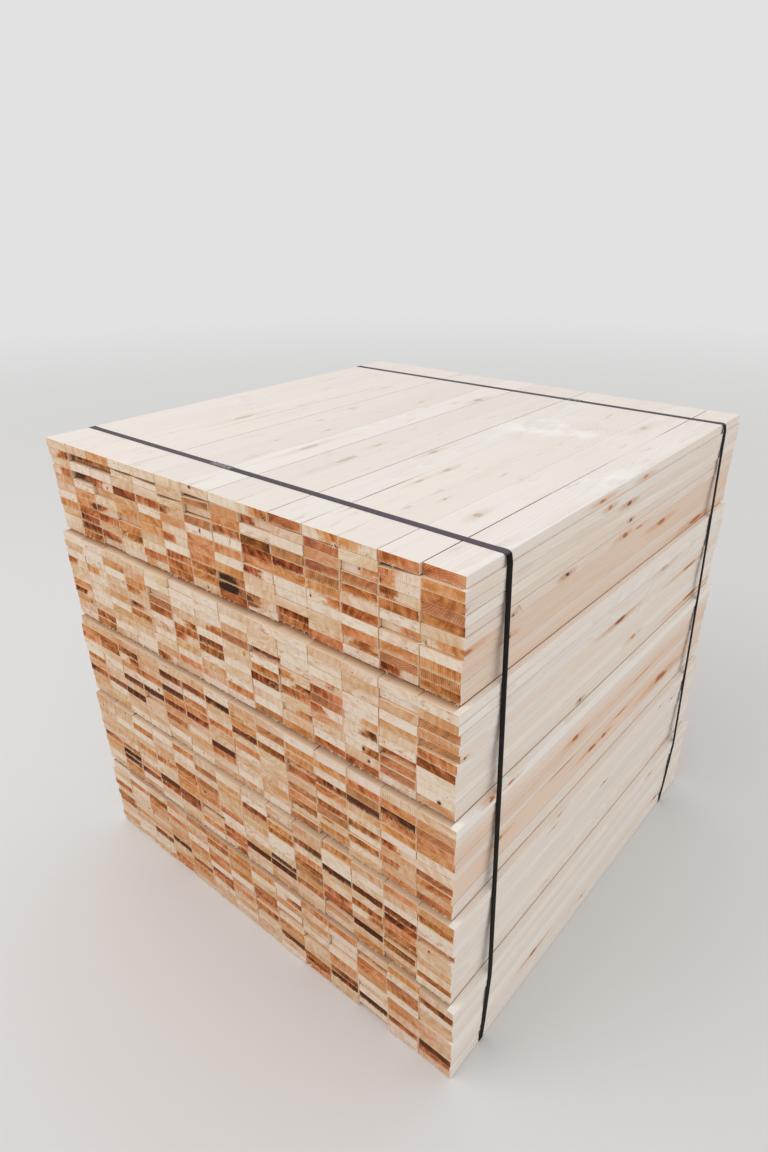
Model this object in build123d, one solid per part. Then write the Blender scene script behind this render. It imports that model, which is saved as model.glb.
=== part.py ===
from build123d import *

import os
import random

# A stack of sawn softwood boards held by two plastic straps. Sizes are in millimetres.
# X runs across the boards, Y along them and Z up. The near end, with the end grain in
# view, is at -Y. Tiers are counted from the floor up, and so are a tier's layers.

# One board
board_length = 1200
board_width = 83.5
board_thickness = 21

# How the boards are laid
boards_across = 14
side_gap = 0.8  # least gap between neighbours in a layer
tier_count = 5
tier_layers = 11

# A tier leans back from its top layer to its bottom one. The tier below stands out
# again, which leaves a ledge of its top boards in view.
end_ledge = 21  # ledge below the top tier, at the near end
ledge_ratio = 0.76  # each ledge further down, as a share of the one above it
end_lean = 12.5
side_ledge = 14.4
side_lean = 9.7

# Unevenness of sawn and stacked boards
end_scatter = 1.5
length_scatter = 5
width_loss = 1.6
layer_wander = 1.2
set_back_share = 0.07
set_back_least = 3
set_back_most = 9
deep_set_back = 14
top_edge_inset = 4  # how far the outermost top board stays in from the edge

# Boards that sit deep behind their neighbours, as tier, layer, column from the left
deep_boards = [
    (tier_count, tier_layers - 1, 2),
    (tier_count, tier_layers - 1, 3),
    (tier_count, tier_layers - 3, 2),
]

# Straps
strap_width = 16
strap_thickness = 0.9
strap_inset = 117  # from a board end to the strap's centre line
lap_length = 60  # overlap of the two welded strap ends
near_lap_from_left = 492  # from the stack's left side to the middle of the lap
far_lap_from_left = 770


def stack_width():
    return boards_across * (board_width + side_gap) - side_gap


def stack_height():
    return tier_count * tier_layers * board_thickness


def tier_set_out(tier):
    """How far a tier's top layer stands out from the top tier's, at side and end."""
    tiers_above = tier_count - tier
    side = tiers_above * (side_ledge - side_lean)
    ledges = sum(end_ledge * ledge_ratio**step for step in range(tiers_above))
    return side, ledges - tiers_above * end_lean


def layer_set_out(tier, layer):
    """How far a layer stands out from the top one, with its tier's lean taken off."""
    side, end = tier_set_out(tier)
    lean_share = (tier_layers - layer) / max(1, tier_layers - 1)
    wander = random.Random(tier * 100 + layer).uniform(-layer_wander, layer_wander)
    return side - lean_share * side_lean + wander, end - lean_share * end_lean


def set_back(tier, layer, column, chance):
    """How far a board's near end sits behind its neighbours'."""
    if (tier, layer, column) in deep_boards:
        return deep_set_back
    if chance.random() < set_back_share:
        return chance.uniform(set_back_least, set_back_most)
    return chance.uniform(-end_scatter, end_scatter)


def board_span(tier, layer, column):
    """A board's low and high X, Y and Z, before the stack is moved to its origin."""
    chance = random.Random((tier * 100 + layer) * 100 + column)
    side, end = layer_set_out(tier, layer)
    width = board_width - chance.uniform(0, width_loss)
    slack = board_width - width
    left = side - stack_width() / 2 + (column - 1) * (board_width + side_gap)
    left = left + slack * chance.random()
    right = left + width
    if (tier, layer, column) == (tier_count, tier_layers, boards_across):
        right = right - top_edge_inset
    near = -board_length / 2 - end + set_back(tier, layer, column, chance)
    far = board_length / 2 - end + chance.uniform(-length_scatter, length_scatter)
    low = ((tier - 1) * tier_layers + layer - 1) * board_thickness
    return (left, near, low), (right, far, low + board_thickness)


def board(tier, layer, column):
    low, high = board_span(tier, layer, column)
    size = [top - bottom for bottom, top in zip(low, high)]
    return Pos(*low) * Box(*size, align=(Align.MIN, Align.MIN, Align.MIN))


def board_layer(tier, layer):
    """The boards of one layer, side by side and clear of each other."""
    return [board(tier, layer, column) for column in range(1, boards_across + 1)]


def outline_corners():
    """The outer corners, as X and Z, of every layer where the straps cross them."""
    corners = []
    for tier in range(1, tier_count + 1):
        for layer in range(1, tier_layers + 1):
            left_low, _ = board_span(tier, layer, 1)
            _, right_high = board_span(tier, layer, boards_across)
            low, high = left_low[2], right_high[2]
            corners += [(left_low[0], low), (left_low[0], high)]
            corners += [(right_high[0], low), (right_high[0], high)]
    return corners


def turn(first, middle, last):
    """Above zero where the path through three points turns left."""
    ahead = (middle[0] - first[0]) * (last[1] - first[1])
    return ahead - (middle[1] - first[1]) * (last[0] - first[0])


def half_hull(corners):
    hull = []
    for corner in corners:
        while len(hull) > 1 and turn(hull[-2], hull[-1], corner) <= 0:
            hull.pop()
        hull.append(corner)
    return hull[:-1]


def taut_outline():
    """The loop that a taut strap takes round the stack: its corners' convex hull."""
    corners = sorted(set(outline_corners()))
    return half_hull(corners) + half_hull(corners[::-1])


def strap(centre_y, lap_from_left):
    """A closed strap, bent over the outermost boards, with its welded lap on top."""
    inner = make_face(Plane.XZ * Polyline(*taut_outline(), close=True))
    outer = offset(inner, amount=strap_thickness, kind=Kind.ARC)
    loop = extrude(outer - inner, amount=strap_width / 2, both=True)
    lap = Box(lap_length, strap_width, strap_thickness)
    lap_x = lap_from_left - stack_width() / 2
    lap_z = stack_height() + 1.5 * strap_thickness
    return Pos(0, centre_y, 0) * (loop + Pos(lap_x, 0, lap_z) * lap)


def build_nodes():
    """Every node of the stack, by name, before it is moved to its origin."""
    nodes = {}
    for tier in range(1, tier_count + 1):
        for layer in range(1, tier_layers + 1):
            nodes[f"tier_{tier}_layer_{layer:02d}"] = board_layer(tier, layer)
    strap_y = board_length / 2 - strap_inset
    nodes["strap_near"] = [strap(-strap_y, near_lap_from_left)]
    nodes["strap_far"] = [strap(strap_y, far_lap_from_left)]
    return nodes


def bottom_centre(nodes):
    """The middle of the bottom of the box round the whole stack."""
    spans = [Compound(children=list(shapes)).bounding_box() for shapes in nodes.values()]
    low = [min(tuple(span.min)[axis] for span in spans) for axis in range(3)]
    high = [max(tuple(span.max)[axis] for span in spans) for axis in range(3)]
    return (low[0] + high[0]) / 2, (low[1] + high[1]) / 2, low[2]


os.makedirs("parts", exist_ok=True)
stack = build_nodes()
origin_x, origin_y, origin_z = bottom_centre(stack)
for name, shapes in stack.items():
    placed = [Pos(-origin_x, -origin_y, -origin_z) * shape for shape in shapes]
    export_step(Compound(children=placed), f"parts/{name}.step")
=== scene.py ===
import math
import random
from collections import namedtuple
from types import SimpleNamespace

import bpy
from mathutils import Matrix, Vector, noise


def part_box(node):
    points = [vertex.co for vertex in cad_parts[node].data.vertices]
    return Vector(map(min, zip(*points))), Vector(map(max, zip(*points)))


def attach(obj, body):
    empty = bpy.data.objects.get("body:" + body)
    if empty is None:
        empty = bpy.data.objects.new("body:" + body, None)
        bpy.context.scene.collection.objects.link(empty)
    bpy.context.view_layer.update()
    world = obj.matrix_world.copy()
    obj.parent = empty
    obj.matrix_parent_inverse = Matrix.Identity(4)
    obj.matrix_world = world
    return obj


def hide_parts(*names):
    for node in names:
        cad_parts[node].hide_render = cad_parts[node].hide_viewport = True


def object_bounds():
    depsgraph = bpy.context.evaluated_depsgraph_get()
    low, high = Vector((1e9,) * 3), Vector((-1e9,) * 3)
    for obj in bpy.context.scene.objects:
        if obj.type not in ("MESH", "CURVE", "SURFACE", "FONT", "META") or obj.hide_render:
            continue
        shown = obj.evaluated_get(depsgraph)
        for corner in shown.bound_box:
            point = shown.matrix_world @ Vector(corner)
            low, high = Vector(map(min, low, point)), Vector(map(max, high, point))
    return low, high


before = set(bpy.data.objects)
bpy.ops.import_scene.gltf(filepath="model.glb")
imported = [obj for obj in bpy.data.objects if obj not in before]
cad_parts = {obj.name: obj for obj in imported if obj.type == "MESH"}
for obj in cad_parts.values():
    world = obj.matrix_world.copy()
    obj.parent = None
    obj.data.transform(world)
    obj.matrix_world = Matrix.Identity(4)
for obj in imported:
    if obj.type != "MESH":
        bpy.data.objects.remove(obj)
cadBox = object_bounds()
print("frame loaded", [list(corner) for corner in cadBox])

meshing = {
    "mergeWithin": 1e-5,
    "sharp": math.radians(60),  # edges with more turn than this are bevelled
}


def onlyThis(piece):
    bpy.ops.object.select_all(action="DESELECT")
    piece.select_set(True)
    bpy.context.view_layer.objects.active = piece


def leaveEdit():
    bpy.ops.object.mode_set(mode="OBJECT")


# A copy of a CAD node's mesh with its doubles merged, in edit mode and all selected.
def copyOf(node, name):
    piece = bpy.data.objects.new(name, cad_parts[node].data.copy())
    bpy.context.scene.collection.objects.link(piece)
    piece.data.materials.clear()
    onlyThis(piece)
    bpy.ops.object.mode_set(mode="EDIT")
    bpy.ops.mesh.select_all(action="SELECT")
    bpy.ops.mesh.remove_doubles(threshold=meshing["mergeWithin"])
    return piece


# Goes into edit mode with the points, edges or faces selected that the test accepts.
def pick(piece, kind, wanted):
    onlyThis(piece)
    bpy.ops.object.mode_set(mode="EDIT")
    bpy.ops.mesh.select_mode(type=kind)
    bpy.ops.mesh.select_all(action="DESELECT")
    leaveEdit()
    mesh = piece.data
    for item in {"VERT": mesh.vertices, "EDGE": mesh.edges, "FACE": mesh.polygons}[kind]:
        item.select = wanted(item)
    bpy.ops.object.mode_set(mode="EDIT")


# Cuts the edges that the test accepts, given their two ends, into equal lengths.
def splitEdges(piece, cuts, wanted):
    points = piece.data.vertices
    pick(piece, "EDGE", lambda edge: wanted(*(points[index].co for index in edge.vertices)))
    bpy.ops.mesh.subdivide(number_cuts=cuts)
    leaveEdit()


# Cuts the faces that the test accepts where a plane crosses them.
def cutFaces(piece, wanted, planePlace, planeNormal):
    pick(piece, "FACE", wanted)
    bpy.ops.mesh.bisect(plane_co=planePlace, plane_no=planeNormal)
    leaveEdit()


def bevelSharp(piece, offset, segments):
    pick(piece, "EDGE", lambda edge: False)
    bpy.ops.mesh.edges_select_sharp(sharpness=meshing["sharp"])
    bpy.ops.mesh.bevel(offset=offset, segments=segments, affect="EDGES")
    leaveEdit()


# A colour as a picture shows it, 0 to 255, for a node's socket.
def srgb(red, green, blue):
    shares = [value / 255 for value in (red, green, blue)]
    return tuple(s / 12.92 if s <= 0.04045 else ((s + 0.055) / 1.055) ** 2.4 for s in shares) + (1.0,)


# One output of a node. Sums with it add Math nodes, or Vector Math for places and colours.
class Out:
    def __init__(self, socket):
        self.socket = socket

    def __add__(self, other):
        return combine("ADD", self, other)

    def __sub__(self, other):
        return combine("SUBTRACT", self, other)

    def __rsub__(self, other):
        return combine("SUBTRACT", other, self)

    def __mul__(self, other):
        return combine("MULTIPLY", self, other)

    def __truediv__(self, other):
        return combine("DIVIDE", self, other)

    def beside(self, name):
        return Out(self.socket.node.outputs[name])


def treeOf(*values):
    return next(value.socket.id_data for value in values if isinstance(value, Out))


def feed(socket, value):
    if isinstance(value, Out):
        socket.id_data.links.new(value.socket, socket)
    else:
        socket.default_value = value


def feedAll(node, values):
    for socket, value in zip(node.inputs, values):
        feed(socket, value)
    return Out(node.outputs[0])


def combine(operation, *values):
    onVectors = any(isinstance(value, Out) and value.socket.type in ("VECTOR", "RGBA") for value in values)
    node = treeOf(*values).nodes.new("ShaderNodeVectorMath" if onVectors else "ShaderNodeMath")
    node.operation = operation
    result = feedAll(node, values)
    return result.beside("Value") if operation == "LENGTH" else result


# Onto, with value times amount added.
def added(onto, value, amount):
    return combine("MULTIPLY_ADD", value, amount, onto)


# Onto, moved by amount times how far value lies from its middle.
def offBy(value, amount, onto):
    return added(onto, value - 0.5, amount)


def addNode(tree, kind, output=0, inputs=None, **settings):
    node = tree.nodes.new("ShaderNode" + kind)
    for name, value in settings.items():
        setattr(node, name, value)
    for name, value in (inputs or {}).items():
        feed(node.inputs[name], value)
    return Out(node.outputs[output])


def attribute(tree, name, output="Fac"):
    return addNode(tree, "Attribute", output, attribute_name=name)


# The three parts of a place or a colour.
def parts(value):
    kind = "SeparateColor" if value.socket.type == "RGBA" else "SeparateXYZ"
    first = feedAll(treeOf(value).nodes.new("ShaderNode" + kind), [value])
    return [Out(socket) for socket in first.socket.node.outputs[:3]]


def vector(x=0.0, y=0.0, z=0.0):
    return feedAll(treeOf(x, y, z).nodes.new("ShaderNodeCombineXYZ"), (x, y, z))


def grey(value):
    return vector(value, value, value)


def blend(share, first, second, way="MIX"):
    node = treeOf(share, first, second).nodes.new("ShaderNodeMix")
    node.data_type = "RGBA"
    node.blend_type = way
    for index, value in ((0, share), (6, first), (7, second)):
        feed(node.inputs[index], value)
    return Out(node.outputs[2])


# A colour ramp from (place, colour) stops.
def ramp(value, stops):
    node = treeOf(value).nodes.new("ShaderNodeValToRGB")
    elements = node.color_ramp.elements
    while len(elements) < len(stops):
        elements.new(0.5)
    for element, (place, colour) in zip(elements, stops):
        element.position = place
        element.color = colour
    return feedAll(node, [value])


# Value's way from low to high, as a smooth step from start to end.
def soften(value, low, high, start=0.0, end=1.0):
    node = treeOf(value).nodes.new("ShaderNodeMapRange")
    node.interpolation_type = "SMOOTHSTEP"
    return feedAll(node, (value, low, high, start, end))


def speckle(place, scale=1.0, detail=2.0, roughness=0.5):
    inputs = {"Vector": place, "Scale": scale, "Detail": detail, "Roughness": roughness}
    return addNode(treeOf(place), "TexNoise", 0, inputs)


def relieved(shader, strength, distance, height):
    inputs = {"Strength": strength, "Distance": distance, "Height": height}
    feed(shader.inputs["Normal"], addNode(treeOf(height), "Bump", 0, inputs))


def newGroup(name, inputs, outputs):
    group = bpy.data.node_groups.new(name, "ShaderNodeTree")
    for label, kind in inputs.items():
        group.interface.new_socket(label, in_out="INPUT", socket_type="NodeSocket" + kind)
    for label in outputs:
        group.interface.new_socket(label, in_out="OUTPUT", socket_type="NodeSocketFloat")
    start = group.nodes.new("NodeGroupInput")
    end = group.nodes.new("NodeGroupOutput")
    return group, [Out(start.outputs[label]) for label in inputs], end.inputs


def useGroup(group, **inputs):
    node = treeOf(*inputs.values()).nodes.new("ShaderNodeGroup")
    node.node_tree = group
    for name, value in inputs.items():
        feed(node.inputs[name], value)
    return [Out(socket) for socket in node.outputs]


def newMaterial(name):
    material = bpy.data.materials.new(name)
    material.use_nodes = True
    tree = material.node_tree
    tree.nodes.clear()
    shader = tree.nodes.new("ShaderNodeBsdfPrincipled")
    output = tree.nodes.new("ShaderNodeOutputMaterial")
    tree.links.new(shader.outputs[0], output.inputs["Surface"])
    return material, tree, shader


woodPattern = {
    "pithWander": 0.010,  # how far the pith strays sideways along a board
    "pithTilt": 0.05,
    "ringWobble": 0.0030,
    "streaksBroad": (130.0, 0.0, 16.0),  # end faces are scratched up and down by the saw
    "streaksNarrow": (460.0, 0.0, 26.0),
    "streaksFine": (1500.0, 0.0, 60.0),
    "streakSlope": 0.7,
    "fibreScale": (900.0, 7.0, 900.0),
}


# Rings about a pith that wanders along the board. Distance is from the pith, in metres.
def growthRingGroup():
    kinds = {"Place": "Vector", "Pith": "Vector", "Spacing": "Float", "Seed": "Float"}
    group, (place, pith, spacing, seed), results = newGroup("growthRings", kinds, ["Rings", "Distance"])
    along = parts(place)[1]
    wander = woodPattern["pithWander"]
    seedPlace = vector(seed * 91.0, along * 1.6)
    stray = addNode(group, "TexNoise", "Color", {"Vector": seedPlace, "Scale": 1.0, "Detail": 1.0})
    stray = (stray - (0.5, 0.5, 0.5)) * (wander * 4, 0.0, wander * 2)
    lean = vector(z=along * ((seed - 0.5) * woodPattern["pithTilt"]))
    fromPith = (place - pith + stray + lean) * (1.0, 0.0, 1.0)
    wobble = speckle(place * (26.0, 2.0, 26.0) + seedPlace) - 0.5
    distance = added(combine("LENGTH", fromPith), wobble, woodPattern["ringWobble"] * 2)
    feed(results["Rings"], combine("POWER", combine("FRACT", distance / spacing), 1.8))
    feed(results["Distance"], distance)
    return group


# Up-and-down marks that the saw leaves on an end face, a little aslant on each board.
def sawStreakGroup():
    kinds = {"Place": "Vector", "Seed": "Float", "Slope": "Float"}
    group, (place, seed, slope), results = newGroup("sawStreaks", kinds, ["Broad", "Narrow", "Fine"])
    across, _, up = parts(place)
    offset = vector(seed * 57.0, seed)
    slanted = vector(added(across, up, slope), 0.0, up)
    for name in ("Broad", "Narrow", "Fine"):
        feed(results[name], speckle(slanted * woodPattern["streaks" + name] + offset, 1.0, 2.0, 0.6))
    return group


# Fine fibres along the board.
def fibreGroup():
    kinds = {"Place": "Vector", "Seed": "Float"}
    group, (place, seed), results = newGroup("fibres", kinds, ["Fibres", "Patches"])
    offset = vector(seed * 33.0)
    feed(results["Fibres"], speckle(place * woodPattern["fibreScale"] + offset, 1.0, 3.0, 0.6))
    feed(results["Patches"], speckle(place * (30.0, 3.0, 30.0) + offset, 1.0, 3.0, 0.55))
    return group


# A mask of the edges of an end face, from a place measured from its centre.
def endRimGroup():
    kinds = {"Place": "Vector", "Half Width": "Float", "Half Height": "Float"}
    group, (place, halfWidth, halfHeight), results = newGroup("endRim", kinds, ["Rim"])
    across, _, up = parts(place)
    upright = soften(halfWidth - combine("ABSOLUTE", across), 0.0024, 0.0004, 0.0, 0.45)
    level = soften(halfHeight - combine("ABSOLUTE", up), 0.0015, 0.0004)
    feed(results["Rim"], combine("MAXIMUM", upright, level))
    return group


# A soft oval spot round a centre, with a ragged edge and a wider halo.
def spotGroup():
    kinds = {"Place": "Vector", "Centre": "Vector", "Size": "Vector", "Seed": "Float", "Ragged": "Float"}
    group, (place, centre, size, seed, ragged), results = newGroup("spot", kinds, ["Spot", "Halo"])
    away = (place - centre) / size
    rough = speckle(away * (1.2, 1.2, 1.2) + vector(seed * 71.0), 1.0, 3.0) - 0.5
    rough = added(ragged, rough, 0.9)
    alongGrain = away * (1.0, 0.4, 1.0)
    feed(results["Spot"], soften(rough + combine("LENGTH", away), 1.05, 0.65))
    feed(results["Halo"], soften(rough + combine("LENGTH", alongGrain), 2.1, 0.6))
    return group


growthRings = growthRingGroup()
sawStreaks = sawStreakGroup()
fibres = fibreGroup()
endRim = endRimGroup()
spot = spotGroup()
print("wood pattern groups made")


endGrain = {
    "sapwood": [  # from near white to warm peach
        (0.0, srgb(235, 218, 200)),
        (0.3, srgb(228, 202, 174)),
        (0.6, srgb(220, 184, 149)),
        (0.85, srgb(215, 165, 121)),
        (1.0, srgb(208, 147, 98)),
    ],
    "heartwood": [  # from light orange to nearly black brown
        (0.0, srgb(220, 166, 118)),
        (0.2, srgb(214, 143, 90)),
        (0.42, srgb(193, 118, 66)),
        (0.62, srgb(162, 88, 40)),
        (0.82, srgb(126, 58, 22)),
        (1.0, srgb(66, 26, 9)),
    ],
    "greyed": srgb(186, 146, 110),
    "ring": srgb(170, 92, 46),
    "smudge": srgb(190, 136, 86),
    "hueRange": 0.015,
    "raggedRim": 0.0075,  # how far pale fibres reach over the heartwood from the edges, at most
    "rim": srgb(236, 208, 174),
    "speck": srgb(58, 38, 26),
    # painted shade: what the ends of the lower tiers darken towards, as if less light reached them near the
    # ground
    "groundShade": srgb(132, 96, 66),
    "halfWidth": 0.0414,
    "halfHeight": 0.0105,
}

longFace = {
    "tones": [
        (0.0, srgb(250, 245, 238)),
        (0.35, srgb(246, 236, 226)),
        (0.7, srgb(243, 227, 213)),
        (1.0, srgb(240, 213, 192)),
    ],
    "ring": srgb(214, 192, 166),
    "heart": srgb(236, 204, 174),
    "frost": srgb(250, 248, 245),
    "underTier": srgb(140, 84, 40),  # shade where a tier stands on the ledge of the next
    "ledgeTint": srgb(252, 241, 220),
    "scuff": srgb(176, 164, 152),
    "inner": srgb(228, 190, 150),  # painted warm shade on the sides that face a neighbour
    "between": srgb(104, 68, 42),  # painted deeper shade on the same sides, deep between boards
}

knotTones = [  # from a pale knot to a black hole
    (0.0, srgb(214, 198, 178)),
    (0.25, srgb(204, 168, 134)),
    (0.42, srgb(202, 130, 76)),
    (0.62, srgb(162, 84, 38)),
    (0.85, srgb(84, 46, 26)),
    (1.0, srgb(24, 17, 13)),
]
haloTones = [
    (0.0, srgb(228, 214, 196)),
    (0.25, srgb(224, 202, 176)),
    (0.5, srgb(222, 168, 120)),
    (1.0, srgb(182, 130, 90)),
]


# What every face of a board knows about its board and its nearest knot.
def boardInputs(tree):
    whole = addNode(tree, "TexCoord", "Object")
    pith = attribute(tree, "boardPith", "Vector")
    look = attribute(tree, "boardLook", "Color")
    seed = look.beside("Alpha")
    sap, heart, reach = parts(look)
    comb, greyed, slope = parts(attribute(tree, "boardFinish", "Vector"))
    place = whole - attribute(tree, "boardCentre", "Vector")
    rings, distance = useGroup(
        growthRings, Place=place, Pith=pith * (1.0, 0.0, 1.0), Spacing=parts(pith)[1], Seed=seed)
    return SimpleNamespace(
        whole=whole, place=place, rings=rings, distance=distance, seed=seed,
        sap=sap, heart=heart, reach=reach, comb=comb, greyed=greyed, slope=slope,
        chance=combine("FRACT", seed * 53.7), luck=combine("FRACT", seed * 91.3),
    )


# The colour with the knot or stain that the face's attributes place on it.
def markedColour(tree, board, colour, haloShare, ragged=0.0):
    centre, size = attribute(tree, "markPlace", "Vector"), attribute(tree, "markSize", "Vector")
    tone = attribute(tree, "markTone")
    inner, halo = useGroup(spot, Place=board.whole, Centre=centre, Size=size, Seed=board.seed, Ragged=ragged)
    colour = blend(halo * haloShare, colour, ramp(tone, haloTones))
    return blend(inner * 0.92, colour, ramp(tone, knotTones))


def endGrainMaterial():
    material, tree, shader = newMaterial("sawn_end_grain")
    board = boardInputs(tree)
    halfWidth, halfHeight = endGrain["halfWidth"], endGrain["halfHeight"]
    slope = (board.slope - 0.5) * woodPattern["streakSlope"]
    broad, narrow, fine = useGroup(sawStreaks, Place=board.place, Seed=board.seed, Slope=slope)
    edges = {"Place": board.place, "Half Width": halfWidth, "Half Height": halfHeight}
    rim = useGroup(endRim, **edges)[0]
    across, _, height = parts(board.place)
    seeded = board.place + vector(board.seed * 13.0, 0.0, board.seed * 7.0)
    patches = soften(speckle(seeded * (21.0, 0.0, 48.0), 1.0, 4.0, 0.6), 0.3, 0.7)
    smears = speckle(seeded * (48.0, 0.0, 120.0), 1.0, 4.0, 0.6)
    bandInputs = {"W": added(board.seed * 61.0, board.distance, 85.0), "Scale": 1.0, "Detail": 2.0}
    bands = soften(addNode(tree, "TexNoise", 0, bandInputs, noise_dimensions="1D"), 0.3, 0.7)
    drift = (board.chance - 0.5) * (across / halfWidth)

    # Heartwood: inside its radius, with an edge dragged up and down by the saw
    edge = offBy(broad, 0.014, board.reach - board.distance)
    edge = offBy(patches, 0.019, offBy(narrow, 0.01, edge))
    inside = combine("MINIMUM", (halfWidth - combine("ABSOLUTE", across)) * 1.5, height + halfHeight)
    inside = combine("MINIMUM", inside, (halfHeight - height) * 2.0)
    overgrown = soften(board.luck, 0.1, 1.0) * endGrain["raggedRim"]
    overgrown = overgrown * soften(smears + narrow * 0.6, 0.6, 1.0)
    heartMask = soften(edge, -0.006, 0.008) * soften(inside - overgrown, -0.0026, 0.0010)
    combed = board.rings * board.comb
    dark = offBy(bands, 0.26, offBy(patches, 0.44, board.heart))
    dark = offBy(broad, 0.4, added(dark, drift, 0.3))
    dark = added(offBy(narrow, 0.36, dark) - 0.04, combed, 0.42)
    heartColour = ramp(dark - soften(edge, 0.04, 0.0, 0.0, 0.26), endGrain["heartwood"])
    light = offBy(bands, 0.3, offBy(patches, 0.42, board.sap))
    light = offBy(narrow, 0.25, added(light, drift, 0.3))
    sapColour = ramp(added(light - 0.06, combed, 0.5), endGrain["sapwood"])
    smudged = soften(smears, 0.5, 0.68) * soften(board.luck, 0.35, 0.95, 0.08, 0.8)
    sapColour = blend(smudged, sapColour, endGrain["smudge"])

    # The saw pulls pale fibres over the lower edge
    fringe = soften(height, -0.001, -0.0105) * soften(narrow, 0.42, 0.6)
    fringe = fringe * soften(board.slope, 0.25, 0.5, 0.1, 0.85)
    colour = blend(heartMask * (1.0 - fringe), sapColour, heartColour)
    colour = blend(board.greyed * soften(broad, 0.3, 0.7, 0.4, 1.0), colour, endGrain["greyed"])
    ringLine = combine("POWER", combed, 1.6) * 0.65
    colour = blend(ringLine * soften(board.sap, 0.1, 0.6, 0.25, 1.0), colour, endGrain["ring"])
    hue = offBy(board.chance, endGrain["hueRange"], offBy(patches, endGrain["hueRange"] * 0.3, 0.5))
    colour = addNode(tree, "HueSaturation", 0, {"Hue": hue, "Color": colour})

    # Saw scratches, pale fuzzy rims, small dark specks, knots and stains
    colour = blend(1.0, colour, grey(soften(fine, 0.3, 0.75, 0.9, 1.06)), "MULTIPLY")
    colour = blend(rim * soften(speckle(seeded, 170.0), 0.3, 0.6, 0.15, 0.85), colour, endGrain["rim"])
    cells = addNode(tree, "TexVoronoi", "Distance", {"Vector": seeded, "Scale": 75.0, "Randomness": 1.0})
    specks = soften(cells, 0.13, 0.06) * soften(parts(cells.beside("Color"))[0], 0.92, 0.94)
    colour = blend(specks * 0.85, colour, endGrain["speck"])
    colour = markedColour(tree, board, colour, 0.6, offBy(narrow, 0.9, 0.0))
    # Painted shade: the lower the tier, the darker its ends
    colour = blend(attribute(tree, "groundShadeShare"), colour, endGrain["groundShade"])

    feed(shader.inputs["Base Color"], colour)
    feed(shader.inputs["Roughness"], soften(patches, 0.0, 1.0, 0.76, 0.94))
    shader.inputs["Specular IOR Level"].default_value = 0.1
    relief = added(added(narrow * 0.7, fine, 0.5), board.rings, 0.25)
    relieved(shader, 0.55, 0.0006, added(relief, speckle(seeded, 900.0, 2.0, 0.6), 0.4))
    return material


# The colour with the pale patches and grey scuffs of the top.
def weatheredColour(tree, board, colour):
    frostPlace = attribute(tree, "frost")
    frostNoise = speckle(board.whole * (13.0, 9.0, 13.0), 1.0, 5.0, 0.62)
    frost = frostPlace * soften(frostNoise, 0.47, 0.62)
    colour = blend(frost * 0.9, colour, longFace["frost"])
    scuffs = speckle(board.whole * (60.0, 22.0, 60.0), 1.0, 3.0) - 0.5
    scuffs = soften(combine("ABSOLUTE", scuffs), 0.022, 0.0) * soften(frostNoise, 0.5, 0.38)
    scuffs = scuffs * combine("POWER", frostPlace, 0.6)
    colour = blend(scuffs * 0.42, colour, longFace["scuff"])
    smear = soften(speckle(board.whole * (46.0, 9.0, 46.0), 1.0, 5.0, 0.62), 0.6, 0.74)
    bleached = attribute(tree, "bleached")
    colour = blend(smear * (bleached * 0.4), colour, longFace["scuff"])
    colour = markedColour(tree, board, colour, 0.62)
    return addNode(tree, "HueSaturation", 0, {
        "Saturation": added(1.0, bleached, -0.32), "Value": added(1.0, bleached, -0.012), "Color": colour})


# The colour with the shade of the tier above and between neighbours.
def shadedColour(tree, board, colour):
    around = attribute(tree, "spanAround", "Color")
    nearEnd, farEnd, leftSide = parts(around)
    across, along, _ = parts(board.whole)
    beyondEnds = combine("MAXIMUM", nearEnd - along, along - farEnd)
    beyondSides = combine("MAXIMUM", leftSide - across, across - around.beside("Alpha"))
    ledge = attribute(tree, "ledge")
    atEnd = soften(beyondSides, 0.002, 0.0)
    endShade = soften(beyondEnds, 0.024, -0.002, 0.03, 0.84) * atEnd
    inner = attribute(tree, "inner") * soften(beyondSides, -0.004, -0.010)
    colour = blend(ledge * endShade, colour, longFace["underTier"])
    tinted = atEnd * combine("GREATER_THAN", ledge, 0.1)
    colour = blend(tinted, colour, longFace["ledgeTint"], "MULTIPLY")
    # Painted shade on the sides that face a neighbour, deeper far in between the boards
    colour = blend(inner * 0.75, colour, longFace["inner"])
    deep = soften(beyondEnds, -0.005, -0.014, 0.0, 0.85)
    return blend(inner * deep, colour, longFace["between"])


def longFaceMaterial():
    material, tree, shader = newMaterial("sawn_long_face")
    board = boardInputs(tree)
    fine, patches = useGroup(fibres, Place=board.place, Seed=board.seed)
    tone = offBy(patches, 0.35, offBy(board.chance, 0.35, attribute(tree, "warmth")))
    colour = ramp(tone, longFace["tones"])
    heartMask = soften(board.reach - board.distance, -0.006, 0.012)
    colour = blend(heartMask * soften(patches, 0.45, 0.8, 0.02, 0.3), colour, longFace["heart"])
    colour = blend(board.rings * soften(fine, 0.3, 0.7, 0.08, 0.38), colour, longFace["ring"])
    shade = soften(fine, 0.25, 0.8, 0.96, 1.02) * soften(board.slope, 0.0, 1.0, 0.955, 1.0)
    colour = blend(1.0, colour, grey(shade), "MULTIPLY")
    colour = shadedColour(tree, board, weatheredColour(tree, board, colour))

    feed(shader.inputs["Base Color"], colour)
    feed(shader.inputs["Roughness"], soften(fine, 0.3, 0.7, 0.6, 0.8))
    shader.inputs["Specular IOR Level"].default_value = 0.3
    relieved(shader, 0.35, 0.0005, added(fine, board.rings, 0.3))
    return material


endGrainFinish = endGrainMaterial()
longFaceFinish = longFaceMaterial()
print("wood materials made")


stack = {"tiers": 5, "layers": 11, "columns": 14, "thickness": 0.021}
topLayer = (stack["tiers"], stack["layers"])

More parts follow.
